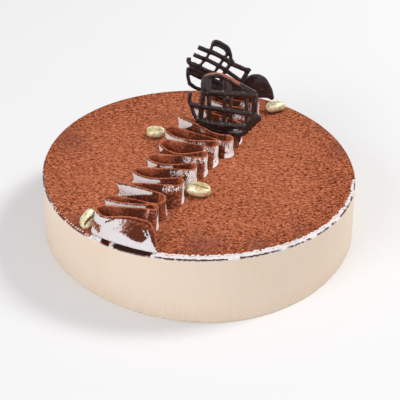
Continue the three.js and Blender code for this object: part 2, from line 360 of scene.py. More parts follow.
# Where the rim is white, and where its dark line runs
def makeRimMasks(tree, point):
    inset = painted(tree, "inset")
    fine = noiseAt(tree, point, rimLook["fine"], 2.0, 0.6)
    rough = noiseAt(tree, point, rimLook["rough"], 2.0, 0.5)
    wander = ranged(tree, rough, 0.3, 0.7, -rimLook["roughReach"], rimLook["roughReach"])
    ragged = added(tree, spread(tree, fine, rimLook["fineReach"]), wander)
    band = maths(tree, "SUBTRACT", added(tree, painted(tree, "whiteWidth"), ragged), inset)
    white = ranged(tree, band, -rimLook["bandEdge"], rimLook["bandEdge"])
    offLine = maths(tree, "ABSOLUTE", maths(tree, "SUBTRACT", inset, painted(tree, "lineInset")))
    offLine = added(tree, offLine, spread(tree, fine, rimLook["lineReach"]))
    line = ranged(tree, offLine, *rimLook["lineHalf"])
    breaks = noiseAt(tree, point, rimLook["breaks"], 3.0, 0.7)
    line = times(tree, line, ranged(tree, breaks, 0.42, 0.48))
    return white, times(tree, line, painted(tree, "line"))


# Pale cream wall, white crumbly rim, and the cocoa on it, with painted shadow where the ruffle's front wall
# overhangs the rim
def makeCreamSideFinish():
    material, tree, shader = newFinish("creamSide")
    point = objectPoint(tree)
    blotch = noiseAt(tree, point, creamLook["blotch"], 3.0, 0.55)
    wall = mixed(tree, ranged(tree, blotch, 0.35, 0.7), creamLook["side"], creamLook["sideWarm"])
    height = addNode(tree, "SeparateXYZ", Vector=point).outputs["Z"]
    streaks = noiseAt(tree, stretched(tree, point, 1.0, 1.0, 0.25), creamLook["footStreak"], 3.0, 0.6)
    nearFoot = ranged(tree, height, 0.0, creamLook["footBand"], 0.75, 0.0)
    nearFoot = added(tree, nearFoot, ranged(tree, streaks, 0.35, 0.65, -0.4, 0.12))
    wall = mixed(tree, maths(tree, "MULTIPLY", nearFoot, 0.8, True), wall, creamLook["foot"])
    white, line = makeRimMasks(tree, point)
    shade = noiseAt(tree, point, rimLook["shade"], 2.0, 0.6)
    rimCream = mixed(tree, ranged(tree, shade, 0.45, 0.7), creamLook["rim"], creamLook["shaded"])
    cocoa = useEffect(tree, cocoaEffect, Tone=0.42)
    top = mixed(tree, white, cocoa["Color"], rimCream)
    onTop = painted(tree, "rim")
    colour = mixed(tree, onTop, wall, top)
    colour = mixed(tree, times(tree, line, onTop), colour, creamLook["line"])
    # painted shadow where the ruffle's front wall overhangs the rim
    colour = mixed(tree, painted(tree, "overhangShadow"), colour, creamLook["overhangShadow"])
    skin = noiseAt(tree, stretched(tree, point, 1.0, 1.0, 0.3), creamLook["skin"], 3.0, 0.6)
    crumb = noiseAt(tree, point, creamLook["crumb"], 3.0, 0.6)
    crumb = times(tree, crumb, added(tree, onTop, 0.2))
    setShader(
        tree, shader,
        Base_Color=colour,
        Roughness=ranged(tree, times(tree, onTop, white), 0.0, 1.0, 0.6, 0.5),
        Normal=bumped(tree, added(tree, skin, crumb), 0.35, 0.0005),
        Subsurface_Weight=0.12,
        Subsurface_Radius=(0.004, 0.003, 0.002),
        Specular_IOR_Level=0.3,
    )
    return material


def makeCocoaFinish():
    material, tree, shader = newFinish("cocoaPowder")
    point = objectPoint(tree)
    cocoa = useEffect(tree, cocoaEffect, Tone=painted(tree, "tone"), Damp=painted(tree, "damp"))
    crumbs = ranged(tree, noiseAt(tree, point, cocoaLook["whiteCrumbs"], 2.0, 0.5), 0.3, 0.7)
    white = ranged(tree, added(tree, painted(tree, "whiteEdge"), crumbs), 1.0, 1.15)
    colour = mixed(tree, white, cocoa["Color"], creamLook["rim"])
    setShader(
        tree, shader,
        # painted shadow where the ruffle's front wall overhangs the rim
        Base_Color=mixed(tree, painted(tree, "overhangShadow"), colour, creamLook["overhangShadow"]),
        Normal=bumped(tree, cocoa["Height"], 1.0, cocoaLook["bumpDepth"]),
        Roughness=0.95,
        Specular_IOR_Level=0.1,
    )
    return material


def makeRuffleFinish():
    material, tree, shader = newFinish("dustedCream")
    point = objectPoint(tree)
    mask = useEffect(tree, bareEffect, Bare=painted(tree, "bare"))["Mask"]
    cocoa = useEffect(tree, cocoaEffect, Tone=painted(tree, "tone"), Pattern=0.55)
    veil = noiseAt(tree, stretched(tree, point, 1.0, 1.0, 0.4), creamLook["veil"], 3.0, 0.5)
    cream = mixed(tree, ranged(tree, veil, 0.45, 0.8, 0.0, 0.45), creamLook["white"], creamLook["blush"])
    cream = mixed(tree, times(tree, painted(tree, "shaded"), 0.85), cream, creamLook["shaded"])
    height = added(tree, cocoa["Height"], times(tree, mask, -0.25))
    setShader(
        tree, shader,
        Base_Color=mixed(tree, mask, cocoa["Color"], cream),
        Roughness=ranged(tree, mask, 0.0, 1.0, 0.95, 0.5),
        Normal=bumped(tree, height, 0.5, 0.0005),
        Subsurface_Weight=0.1,
        Subsurface_Radius=(0.003, 0.002, 0.0015),
        Specular_IOR_Level=0.25,
    )
    return material


chocolateLook = {
    "dark": (0.012, 0.005, 0.005, 1),
    "brown": (0.028, 0.012, 0.011, 1),
    # painted sheen: a lighter colour in spots, in place of highlights on the bars
    "paintedSheen": (0.08, 0.04, 0.038, 1),
    "dust": (0.40, 0.15, 0.09, 1),
    "cloud": 180.0,
    "sheenSpots": 640.0,
    "dustGrain": 900.0,
    "waves": 300.0,
    "roughness": (0.28, 0.42),
    "coat": 0.7,
}


def makeChocolateFinish():
    material, tree, shader = newFinish("darkChocolate")
    point = objectPoint(tree)
    cloud = noiseAt(tree, point, chocolateLook["cloud"], 3.0, 0.55)
    paintedSheen = noiseAt(tree, point, chocolateLook["sheenSpots"], 3.0, 0.6)
    colour = mixed(tree, ranged(tree, cloud, 0.35, 0.7), chocolateLook["dark"], chocolateLook["brown"])
    # painted sheen: lighter spots that stand in for the gloss highlights on the bars
    colour = mixed(tree, ranged(tree, paintedSheen, 0.56, 0.68), colour, chocolateLook["paintedSheen"])
    grain = noiseAt(tree, point, chocolateLook["dustGrain"], 2.0, 0.6)
    dust = added(tree, painted(tree, "dust"), ranged(tree, grain, 0.3, 0.7, -0.3, 0.3))
    dust = ranged(tree, dust, 0.35, 0.65)
    gloss = ranged(tree, cloud, 0.3, 0.7, *chocolateLook["roughness"])
    waves = noiseAt(tree, point, chocolateLook["waves"], 3.0, 0.55)
    setShader(
        tree, shader,
        Base_Color=mixed(tree, dust, colour, chocolateLook["dust"]),
        Roughness=maths(tree, "MAXIMUM", gloss, dust),
        Coat_Weight=ranged(tree, dust, 0.0, 1.0, chocolateLook["coat"], 0.0),
        Normal=bumped(tree, waves, 0.6, 0.0008),
        Specular_IOR_Level=0.2,
        Coat_Roughness=0.08,
        Coat_IOR=1.55,
    )
    return material


goldLook = {
    "olive": (0.60, 0.44, 0.17, 1),
    "bright": (1.0, 0.95, 0.66, 1),
    # painted shade in the groove, and painted shadow and reflection of the dark cocoa on the lower part of
    # each bean
    "groove": (0.22, 0.14, 0.05, 1),
    "cloud": 240.0,
    "fleck": 1000.0,
    "roughness": (0.46, 0.3),
}


def makeGoldFinish():
    material, tree, shader = newFinish("goldLustre")
    point = objectPoint(tree)
    cloud = noiseAt(tree, point, goldLook["cloud"], 4.0, 0.65)
    fleck = noiseAt(tree, point, goldLook["fleck"], 3.0, 0.7)
    tone = added(tree, times(tree, cloud, 0.6), times(tree, fleck, 0.4))
    colour = mixed(tree, ranged(tree, tone, 0.42, 0.54), goldLook["olive"], goldLook["bright"])
    setShader(
        tree, shader,
        # painted shade in the groove, and painted shadow and reflection of the dark cocoa low on the bean
        Base_Color=mixed(tree, painted(tree, "groove"), colour, goldLook["groove"]),
        Roughness=ranged(tree, tone, 0.35, 0.65, *goldLook["roughness"]),
        Normal=bumped(tree, tone, 0.6, 0.0009),
        Metallic=0.45,
    )
    return material


finishes = {
    "creamSide": makeCreamSideFinish(),
    "cocoaPowder": makeCocoaFinish(),
    "dustedCream": makeRuffleFinish(),
    "darkChocolate": makeChocolateFinish(),
    "goldLustre": makeGoldFinish(),
}
print("finishes mixed")


# The cake body, out of round like the real one. A wave is its count round the cake, its size in mm and
# its phase in degrees.
body = {
    "topWaves": ((2, 1.49, 250), (3, 0.55, 291), (4, 0.62, 208)),
    "baseWaves": ((2, 0.85, 263), (3, 1.22, 121), (4, 0.5, 52)),
    "baseShift": (1.4, 0.3),
    "sides": 1200,
    "wallRows": 26,
    "rimWidth": 5.0,
    "rimCuts": 7,
    "rimRounding": 1.4,
    "rimFade": (1.3, 0.7),        # depths between which the wall turns into the rim
    "footRounding": 0.4,
    "recess": 1.2,
    "slack": 0.3,                 # held back from the outline, so that no bump stands out of it
    "swell": 0.1,
    "footRipple": 0.18,
    "footRags": (0.1, 0.9),       # how far the foot is cut back, evenly and in rags
    "crumbs": (0.12, 0.35),       # how far the rim's crumbs stand outwards and upwards
    "crumbLimit": 0.3,
    "groove": (0.3, 0.3),         # depth and half width of the furrow under the dark line
    "lineEnds": 3.0,              # degrees over which that line begins and ends
}
# Stretches of the rim, in degrees: from, to, width of the white band at both ends, strength of the
# dark line at its edge and how far in that line runs
rimStretches = (
    (-105.8, -60, 3.9, 3.4, 1.0, 0.6),
    (-60, -8, 3.2, 1.2, 1.0, 0.5),
    (-121.4, -119.7, 5.0, 5.0, 0.0, 0.3),
    (-129.8, -125.4, 5.0, 5.0, 0.9, 0.2),
    (-154, -129.8, 0.0, 0.0, 0.9, 0.3),
    (-186, -154, 0.5, 0.9, 0.9, 0.5),
)
# Blots of painted shadow on the rim, over dark cocoa, where the ruffle's front wall overhangs it: middle and
# half length in degrees, middle inset and half width in mm, and how far they slant, in degrees for a mm of
# inset
overhangShadows = ((-112.9, 7.7, 3.4, 3.8, 0.1), (-123.4, 1.7, 2.1, 2.2, -0.34))
# What each point of the rim is painted with, for its finish
rimMarks = ("rim", "inset", "whiteWidth", "line", "lineInset", "overhangShadow")


def waveSum(waves, angle):
    return sum(size * math.cos(count * angle - math.radians(phase)) for count, size, phase in waves)


# Radius of the side in mm, from its foot (share 0) to its rim (share 1)
def outlineRadius(angle, share):
    shiftX, shiftY = body["baseShift"]
    shift = shiftX * math.cos(angle) + shiftY * math.sin(angle)
    return cakeRadius + lerp(waveSum(body["baseWaves"], angle) + shift,
                             waveSum(body["topWaves"], angle), share)


# Width of the white band, strength of the dark line and its inset, at an angle round the cake
def rimAt(angle):
    for start, end, first, last, line, lineInset in rimStretches:
        degrees = (math.degrees(angle) - start) % 360
        if degrees < end - start:
            ends = rise(0, body["lineEnds"], degrees) * rise(0, body["lineEnds"], end - start - degrees)
            return lerp(first, last, degrees / (end - start)), line * ends, lineInset
    return 0.0, 0.0, 0.3


# How deep the painted shadow on the rim is, at an angle round the cake and an inset from its edge
def overhangShadowAt(angle, inset):
    degrees = math.degrees(angle)
    wander = noise.fractal(Vector((degrees * 0.8, inset * 0.7, 5.0)), 0.8, 2.0, 3)
    inside = 0.0
    for middle, halfLength, middleInset, halfWidth, slant in overhangShadows:
        across = abs(inset - middleInset) / halfWidth
        along = abs(degrees - middle - slant * (inset - middleInset)) / halfLength
        away = (across ** 4 + along ** 4) ** 0.25
        inside = max(inside, fall(0.86, 1.06, away + 0.14 * wander))
    return inside


# Moves a point of the plain drum to the cake's outline, with ripples, rags at its foot and crumbs on its rim
def shapeBody(point, angle, inset, onRim):
    level = point.z / cakeHeight
    around = Vector((math.cos(angle) * cakeRadius, math.sin(angle) * cakeRadius, point.z))
    crumbs = noise.fractal(around * 0.5, 0.9, 2.0, 3)
    ripple = noise.noise(Vector((angle * 26, point.z * 0.05, 3.0)))
    rags = noise.fractal(Vector((angle * 20, 2.0, 0)), 0.7, 2.0, 3)
    evenCut, ragCut = body["footRags"]
    crumbsOut, crumbsUp = body["crumbs"]
    radius = outlineRadius(angle, level) - inset - body["slack"]
    radius += (body["swell"] * noise.noise(around * 0.06)
               + body["footRipple"] * ripple * fall(0.0, 0.35, level))
    radius -= max(0, evenCut + ragCut * rags) * fall(0.0, 0.035, level)
    radius += crumbsOut * crumbs * onRim
    point.x, point.y = math.cos(angle) * radius, math.sin(angle) * radius
    if point.z > 1 and inset > 0.05:
        whiteWidth, line, lineInset = rimAt(angle)
        onBand = rise(0.4, 0.9, inset) * fall(whiteWidth - 0.6, whiteWidth + 0.3, inset)
        depth, half = body["groove"]
        groove = depth * line * math.exp(-((inset - lineInset) / half) ** 2)
        point.z += onRim * (crumbsUp * crumbs * onBand - groove)
        point.z = min(point.z, cakeHeight + body["crumbLimit"])


def makeBody():
    bpy.ops.mesh.primitive_cylinder_add(vertices=body["sides"], radius=cakeRadius, depth=cakeHeight,
                                        location=(0, 0, cakeHeight / 2))
    piece = bpy.context.object
    bpy.ops.object.transform_apply(location=True, rotation=True, scale=True)
    selectParts(piece, "FACE", lambda face: face.normal.z > 0.9)
    bpy.ops.mesh.inset(thickness=body["rimWidth"])
    bpy.ops.mesh.extrude_region_move(TRANSFORM_OT_translate={"value": (0, 0, -body["recess"])})
    selectEdges(piece, lambda a, b: abs(a.z - b.z) > cakeHeight / 2)
    bpy.ops.mesh.subdivide(number_cuts=body["wallRows"])
    top, outer = cakeHeight - nearly, cakeRadius - nearly
    selectEdges(piece, lambda a, b: min(a.z, b.z) > top and min(a.xy.length, b.xy.length) > outer)
    bpy.ops.mesh.bevel(offset=body["rimRounding"], segments=5)
    selectEdges(piece, lambda a, b: max(a.z, b.z) < nearly)
    bpy.ops.mesh.bevel(offset=body["footRounding"], segments=4)
    selectEdges(piece, lambda a, b: min(a.z, b.z) > top and abs(a.xy.length - b.xy.length) > 2)
    bpy.ops.mesh.subdivide(number_cuts=body["rimCuts"])
    setMode("OBJECT")
    wallEnd, rimStart = (cakeHeight - depth for depth in body["rimFade"])
    marks = []
    for vertex in piece.data.vertices:
        angle = math.atan2(vertex.co.y, vertex.co.x)
        inset = cakeRadius - vertex.co.xy.length
        onRim = rise(wallEnd, rimStart, vertex.co.z)
        shapeBody(vertex.co, angle, inset, onRim)
        # the last mark is painted shadow, under the ruffle's overhanging front wall
        marks.append((onRim, inset, *rimAt(angle), overhangShadowAt(angle, inset) * onRim))
    paint(piece, rimMarks, marks)
    finishPiece(piece, "cakeBody", finishes["creamSide"], "cream", "cake_body")


makeBody()


# Cocoa layer: a fine disc with low ripples, out to the edge where the rim is brown
cocoa = {
    "rows": 300,
    "edge": 0.75,
    "lift": (0.06, 0.14),         # how far its edge lies over the rim, and the rest over its edge
    "relief": 0.12,
    "rippleSize": (3.4, 2.2),
    "edgeThickness": 0.12,
    "bottom": 43.45,
    "bottomInset": 5.2,           # inside this it reaches down to the floor of the recess
    "tone": 0.465,
    "rippleTone": 0.12,
    "dampSpots": (                # x, y and radius
        (-83.9, 32.5, 19), (95.2, 21.0, 15), (4.4, -84.2, 18), (60, -70, 10), (-70, -58, 12),
        (84, 48, 13), (36, -84, 12),
    ),
}


# A point of the square from -1 to 1, moved to the round disc with even spacing
def discPoint(x, y):
    return x * math.sqrt(1 - y * y / 2), y * math.sqrt(1 - x * x / 2)


# How far the rounded rim has fallen at an inset
def rimProfile(inset):
    radius = body["rimRounding"]
    into = clamp(radius - inset, 0, radius)
    return radius - math.sqrt(radius ** 2 - into ** 2)


# Tone of the powder, with painted shade: darker at its edge where the rim rounds off, over a band near the
# rim, and towards the front right and the back left, where less light falls
def cocoaToneAndShade(point, inset, ripple):
    tone = cocoa["tone"] + cocoa["rippleTone"] * ripple
    tone -= 0.14 * fall(0.8, 2.6, inset)
    tone -= 0.1 * fall(2, 34, inset)
    tone -= 0.09 * rise(0, 80, point.x * 0.5 - point.y * 0.87)
    return tone - 0.06 * rise(30, 90, point.y - point.x * 0.3)


def makeCocoa():
    bpy.ops.mesh.primitive_grid_add(x_subdivisions=cocoa["rows"], y_subdivisions=cocoa["rows"], size=2)
    piece = bpy.context.object
    selectEdges(piece, lambda a, b: False)
    bpy.ops.mesh.select_non_manifold(extend=False, use_boundary=True, use_wire=False,
                                     use_multi_face=False, use_non_contiguous=False, use_verts=False)
    bpy.ops.mesh.extrude_region_move(TRANSFORM_OT_translate={"value": (0, 0, -1)})
    bpy.ops.mesh.edge_face_add()
    setMode("OBJECT")
    edgeLift, lift = cocoa["lift"]
    marks = []
    for vertex in piece.data.vertices:
        x, y = discPoint(vertex.co.x, vertex.co.y)
        below = vertex.co.z < -0.5
        angle = math.atan2(y, x)
        whiteWidth = rimAt(angle)[0]
        crumbs = noise.noise(Vector((math.cos(angle), math.sin(angle), 0)) * 70)
        edge = max(cocoa["edge"], whiteWidth - 0.1) + 0.35 * crumbs * rise(0.5, 2, whiteWidth) + body["slack"]
        outline = outlineRadius(angle, 1)
        radius = math.hypot(x, y) * (outline - edge)
        inset = outline - radius
        point = Vector((radius * math.cos(angle), radius * math.sin(angle), 0))
        swirl = noise.noise_vector(point * 0.12) * 0.8
        turned = Vector((point.x / cocoa["rippleSize"][0], point.y / cocoa["rippleSize"][1], 0))
        ripple = noise.fractal(turned + swirl, 0.8, 2.0, 4)
        height = rise(0, 1.2, inset - edge) * (lift + cocoa["relief"] * ripple)
        point.z = cakeHeight + edgeLift - rimProfile(inset - body["slack"]) + height
        if below:
            point.z = cocoa["bottom"] if inset > cocoa["bottomInset"] else point.z - cocoa["edgeThickness"]
        vertex.co = point
        damp = max(1 - math.hypot(point.x - spotX, point.y - spotY) / reach
                   for spotX, spotY, reach in cocoa["dampSpots"])
        damp = 0.5 * rise(0.0, 0.9, damp + 0.3 * noise.noise(point * 0.12))
        whiteEdge = fall(0, 2.2, inset - edge) * rise(0.3, 1.5, whiteWidth)
        marks.append((cocoaToneAndShade(point, inset, ripple), damp, whiteEdge, overhangShadowAt(angle, inset)))
    # the last of these marks is painted shadow, under the ruffle's overhanging front wall
    paint(piece, ("tone", "damp", "whiteEdge", "overhangShadow"), marks)
    finishPiece(piece, "cocoaLayer", finishes["cocoaPowder"], "cocoa", "cocoa_top")


makeCocoa()


# White beads of cream that show through the cocoa along the left of the rim
beads = {
    "arc": (-153, -130),
    "step": 1.35,
    "size": (0.62, 0.42, 0.3),
    "growth": (0.8, 1.35),        # times their size, for the first and the last
    "inset": 1.5,
    "lift": 0.1,
    "marks": (1.0, 2.0, 4.0, 0.0, 0.3, 0.0),      # rimMarks, as on the white band
}


def makeBeads():
    bpy.ops.mesh.primitive_uv_sphere_add(segments=12, ring_count=8, radius=1)
    first = bpy.context.object
    start, end = beads["arc"]
    top = cakeHeight + beads["lift"]
    count = round((end - start) / beads["step"])
    copies = []
    for index in range(count):
        wander = noise.noise(Vector((index * 1.7, 4.0, 0)))
        angle = math.radians(start + (index + 0.5 + 0.7 * wander) * beads["step"])
        size = lerp(*beads["growth"], index / count) * (1 + 1.1 * noise.noise(Vector((index * 2.3, 9.0, 0))))
        inset = beads["inset"] + 0.8 * noise.noise(Vector((index * 3.1, 1.0, 0)))
        radius = outlineRadius(angle, 1) - inset
        bead = first.copy()
        bead.data = first.data.copy()
        bpy.context.scene.collection.objects.link(bead)
        bead.data.transform(
            Matrix.Translation((radius * math.cos(angle), radius * math.sin(angle), top))
            @ Matrix.Rotation(angle, 4, "Z")
            @ Matrix.Diagonal((*(size * side for side in beads["size"]), 1))
        )
        copies.append(bead)
    bpy.data.objects.remove(first)
    onlySelected(*copies)
    bpy.ops.object.join()
    piece = bpy.context.object
    paint(piece, rimMarks, [beads["marks"]] * len(piece.data.vertices))
    finishPiece(piece, "rimBeads", finishes["creamSide"], "cream")


makeBeads()


# The piped ruffle, in a frame of its own: X across the row, Y along it towards the back
ruffle = {
    "centre": (-20.6, -21.0),
    "turn": -25.4,
    "base": 44.65,
    "height": 11.3,
    "footHalf": 1.35,             # half the thickness of the ribbon, at three heights
    "waistHalf": 0.55,
    "lipHalf": 0.66,
    "crestShare": 0.12,
    "firstTip": -54.8,            # where the turns stand along the row, and how far apart
    "secondTip": -42.5,
    "tipPitch": 17.2,
    "secondLoop": -38.5,
    "loopPitch": 15.7,
    "tipBend": 3.6,
    "tipFootInset": 0.3,
    "loopLean": 5.6,
    "loopFootInset": 1.5,
    "tipSteps": 13,
    "passSteps": 24,
    "loopSteps": 19,
    "faceSteps": 60,
    "levels": 12,
    "ring": 44,
    "voxel": 0.575,
    "softening": 2,
    "relief": 0.14,
}
# The folds from the front to the back, in mm. tip and loop are how far it reaches left and right.
# back: how far its tip turns back. waist: how far the tip is drawn in at half the height. ahead: how far
# the tip stands forward of the even pitch. bow: how far its front wall bows forward, and bowAt where
# (below 1 is nearer the tip). half and nudge: half width of its loop, and how far that is off the even
# pitch. lean: how far the foot of the loop stands forward. white: lower edge of the bare cream as a share
# of the height, at the tip and where it ends, and where that is along the wall. patch: a second bare
# stretch along the wall, from, to and how bare. bareLoop and streaks: how far bare cream runs round the
# loop and streaks along the wall. The first fold is a tip alone.
foldColumns = ("tip", "back", "waist", "ahead", "bow", "bowAt", "loop", "half", "nudge", "lean",
               "white", "patch", "bareLoop", "streaks")
foldRows = (
    (18.0, 5.0, 0.0, 0.0),
    (19.4, 5.0, 1.6, 0.2, 2.6, 0.8, 15.0, 2.6, 0.0, 6.0, (0.5, 0.6, 0.86), (0, 0, 0), 0.56, 0.05),
    (20.6, 1.4, 2.8, 0.0, -1.4, 0.5, 15.0, 6.0, -6.8, 3.0, (0.16, 0.8, 0.86), (0, 0, 0), 0.47, 0.0),
    (18.4, 5.0, 1.4, 0.4, 5.2, 0.9, 16.6, 4.6, -0.6, 5.0, (0.15, 0.76, 0.68), (0, 0, 0), 0.56, 0.2),
    (17.0, 6.0, 0.8, 0.2, 5.6, 0.85, 16.2, 4.2, 2.4, 2.0, (0.3, 0.86, 0.32), (0.36, 0.66, 0.7), 0.9, 0.42),
    (18.0, 6.5, 0.8, -0.6, 8.0, 1.05, 16.2, 4.0, 2.6, 5.0, (0.5, 0.85, 0.15), (0.5, 0.68, 0.75), 0.62, 0.4),
    (22.4, 6.0, 1.0, -0.4, 6.0, 0.85, 17.0, 4.0, 1.2, 5.5, (0.48, 0.8, 0.56), (0.58, 0.9, 0.5), 0.7, 0.1),
    (21.4, 2.5, 0.4, -1.9, 3.4, 2.6, 22.6, 4.4, -4.4, 2.5, (0.16, 0.78, 0.3), (0.45, 0.6, 0.4), 0.86, 0.2),
    (19.0, 4.0, 1.0, 0.0, -0.5, 0.6, 21.0, 4.2, -2.0, 3.0, (0.24, 0.6, 0.3), (0.6, 0.8, 0.6), 0.6, 0.3),
    (17.0, 4.0, 1.0, 0.0, 3.0, 0.8, 20.0, 4.2, 0.0, 3.0, (0.3, 0.8, 0.5), (0, 0, 0), 0.6, 0.3),
    (15.0, 3.0, 1.0, 0.0, 3.0, 0.8, 18.6, 4.0, 0.4, 2.0, (0.3, 0.8, 0.5), (0, 0, 0), 0.6, 0.3),
)
folds = [dict(zip(foldColumns, row)) for row in foldRows]
# The broad wall at the front end: its crest and foot from left to right, and the hook of its right end
frontFold = {
    "crestAcross": (-17.4, 27.4),
    "footAcross": (-16.8, 28.2),
    "footRadius": 95.4,
    "footStart": -9.7,
    "crestStart": -1.2,
    "crestBulge": 3.4,
    "sag": 4.0,
    "sagAt": 0.2,
    "sagHalf": 0.17,
    "hookStart": 0.74,
    "hook": 8.0,
    "endDrop": 0.72,
}


def tipAlong(fold):
    even = ruffle["firstTip"] if fold == 0 else ruffle["secondTip"] + ruffle["tipPitch"] * (fold - 1)
    return even - folds[fold]["ahead"]


def loopAlong(fold):
    return ruffle["secondLoop"] + ruffle["loopPitch"] * (fold - 1) + folds[fold]["nudge"]


# The turn at the left end, rounded at its back and sharp at its front
def tipTurn(fold, level):
    plan = folds[fold]
    inset = ruffle["tipFootInset"] * (1 - level) + plan["waist"] * math.sin(math.pi * level)
    bend = min(ruffle["tipBend"], plan["back"])
    points = []
    for share in shares(ruffle["tipSteps"]):
        angle = share * math.pi / 2
        x = inset + bend * (1 - math.sin(angle)) - plan["tip"]
        points.append((x, tipAlong(fold) + plan["back"] * math.cos(angle)))
    return points


# The turn at the right end, from its back to its front, whose foot leans forward
def loopTurn(fold, level):
    plan = folds[fold]
    back = loopAlong(fold) + plan["half"]
    nextBack = ruffle["firstTip"] if fold == 1 else loopAlong(fold - 1) + folds[fold - 1]["half"]
    crest = loopAlong(fold) - plan["half"]
    foot = max(crest - ruffle["loopLean"], min(crest, nextBack + 1))
    front = lerp(foot, crest, level)
    across = plan["half"] + ruffle["loopFootInset"] * (1 - level)
    turn = math.radians(ruffle["turn"])
    lean = plan["lean"] * (1 - level) ** 1.3
    centreX = plan["loop"] - across - lean * math.sin(turn)
    centreY = (back + front) / 2 - lean * math.cos(turn)
    points = []
    for share in shares(ruffle["loopSteps"]):
        angle = math.radians(lerp(90, -90, share))
        y = centreY + (back - front) / 2 * math.sin(angle)
        points.append((centreX + across * math.cos(angle), y))
    return points


# The way between two turns, without its two ends
def passPoints(start, end, bow=0.0, bowAt=1.0):
    points = []
    for share in shares(ruffle["passSteps"] + 2)[1:-1]:
        bend = bow * math.sin(math.pi * share ** bowAt)
        points.append((lerp(start[0], end[0], share), lerp(start[1], end[1], share) - bend))
    return points


def hookShare(share):
    return clamp((share - frontFold["hookStart"]) / (1 - frontFold["hookStart"]))


# The broad wall at the front end of the row, whose foot follows the rim of the cake
def frontFace(level):
    turn = math.radians(-ruffle["turn"])
    x, y = -ruffle["centre"][0], -ruffle["centre"][1]
    centreX = x * math.cos(turn) - y * math.sin(turn)
    centreY = x * math.sin(turn) + y * math.cos(turn)
    points = []
    for step in shares(ruffle["faceSteps"]):
        share = lerp(0.02, 1.0, step)
        sag = math.exp(-((share - frontFold["sagAt"]) / frontFold["sagHalf"]) ** 2)
        sag = frontFold["sag"] * sag * rise(0, 0.12, share)
        bulge = frontFold["crestBulge"] * math.sin(math.pi * share ** 1.6)
        crestX = lerp(*frontFold["crestAcross"], share)
        crestY = (ruffle["firstTip"] + frontFold["crestStart"] + bulge
                  - sag - frontFold["hook"] * hookShare(share) ** 2)
        footX = lerp(*frontFold["footAcross"], share)
        rim = centreY - math.sqrt(frontFold["footRadius"] ** 2 - (footX - centreX) ** 2)
        footY = lerp(ruffle["firstTip"] + frontFold["footStart"], rim, min(1, share * 6))
        points.append((lerp(footX, crestX, level), lerp(footY, crestY, level)))
    return points


# Centre line of the ribbon at one level, from the back end of the row to its front end, and for each
# point its place: kind of stretch, fold, share of the stretch
def wholeRoute(level):
    points, places = [], []

    def add(stretch, kind, fold):
        points.extend(stretch)
        places.extend((kind, fold, share) for share in shares(len(stretch)))

    for fold in range(len(folds) - 1, 0, -1):
        plan = folds[fold]
        tip, loop, nextTip = tipTurn(fold, level), loopTurn(fold, level), tipTurn(fold - 1, level)
        add(tip, "tip", fold)
        add(passPoints(tip[-1], loop[0], plan["bow"], plan["bowAt"]), "pass", fold)
        add(loop, "loop", fold)
        add(passPoints(loop[-1], nextTip[0]), "wall", fold)
    add(tipTurn(0, level), "tip", 0)
    add(frontFace(level), "face", 0)
    return points, places


def softened(points, rounds=2):
    for _ in range(rounds):
        inner = [((a[0] + 2 * b[0] + c[0]) / 4, (a[1] + 2 * b[1] + c[1]) / 4)
                 for a, b, c in zip(points, points[1:], points[2:])]
        points = [points[0]] + inner + [points[-1]]
    return points


# Half width and level at a share of the way from the crest (0) down to the foot (1)
def sectionPoint(share):
    lip, crestShare = ruffle["lipHalf"], ruffle["crestShare"]
    top = 1 - lip / ruffle["height"]
    if share < crestShare:
        angle = share / crestShare * math.pi / 2
        return lip * math.sin(angle), top + (1 - top) * math.cos(angle)
    level = top * (1 - (share - crestShare) / (1 - crestShare))
    half = lerp(ruffle["footHalf"], ruffle["waistHalf"], rise(0, 0.4, level))
    return lerp(half, lip, rise(0.84, 0.95, level)), level


# Two bare slashes through the dusted patch of the front wall: share and level at their start and end
slashes = ((0.705, 0.68, 0.85, 0.46), (0.78, 0.76, 0.87, 0.54))


# The broad front wall: white, with a dusted patch at its upper right and streaks at its left. Its tone holds
# painted shade: darker low in the patch, and a dark line under the crest as painted shadow
def faceDustingAndShade(share, level):
    floor = lerp(0.4, 0.27, rise(0.42, 0.66, share)) + 0.25 * rise(0.75, 0.85, share)
    patch = rise(floor - 0.05, floor + 0.05, level) * rise(0.24, 0.62, share)
    slashed = 0.0
    for startShare, startLevel, endShare, endLevel in slashes:
        along = clamp((startLevel - level) / (startLevel - endLevel))
        off = abs(share - lerp(startShare, endShare, along))
        inside = between(endLevel - 0.1, startLevel, level, 0.03)
        slashed = max(slashed, inside * fall(0.004 + 0.016 * along, 0.018 + 0.018 * along, off))
    right = rise(0.87, 0.9, share) * rise(0.46, 0.56, level) * (1 - 0.7 * rise(0.965, 0.985, share))
    left = between(-0.05, 0.15, share, 0.015) * between(0.32 - 1.2 * share, 0.56, level, 0.05)
    offLine = abs(level - 0.73 - (share - 0.19) * 1.6)
    line = between(0.17, 0.3, share, 0.01) * fall(0.02, 0.045, offLine)
    brown = max(patch * (1 - slashed), right, 0.72 * left, line)
    tone = lerp(0.26, -0.14, rise(0.36, 0.6, share) * fall(0.6, 1.0, level))
    return 1 - brown, tone - 0.3 * line


# The left turns and the front walls: bare from a slanting edge upwards; the cocoa darkens towards the foot as
# painted shade
def wallDustingAndShade(kind, plan, share, level):
    at = 0.0 if kind == "tip" else share
    floor, endFloor, reach = plan["white"]
    edge = lerp(floor, endFloor, at / reach)
    bare = rise(-0.1, 0.1, level - edge) * fall(reach - 0.03, reach + 0.03, at)
    patchFrom, patchTo, strength = plan["patch"]
    bare = max(bare, strength * between(patchFrom, patchTo, at, 0.03) * rise(0.6, 0.7, level))
    if kind == "tip":
        bare *= rise(0.8, 0.92, share)
    return bare, -0.05 + 0.25 * level


def loopDusting(fold, plan, share, level):
    bare = between(0.16, plan["bareLoop"], share, 0.05) * (1 if fold > 2 else fall(0.5, 0.9, level))
    bare *= lerp(1, 0.66, rise(0.3, 0.5, share) * rise(0.12, 0.3, level))
    bare = max(bare, 0.48 * rise(0.6, 0.8, level) * rise(0.0, 0.1, plan["streaks"]))
    return bare, lerp(0.3, 0.1, rise(0.6, 1, share))
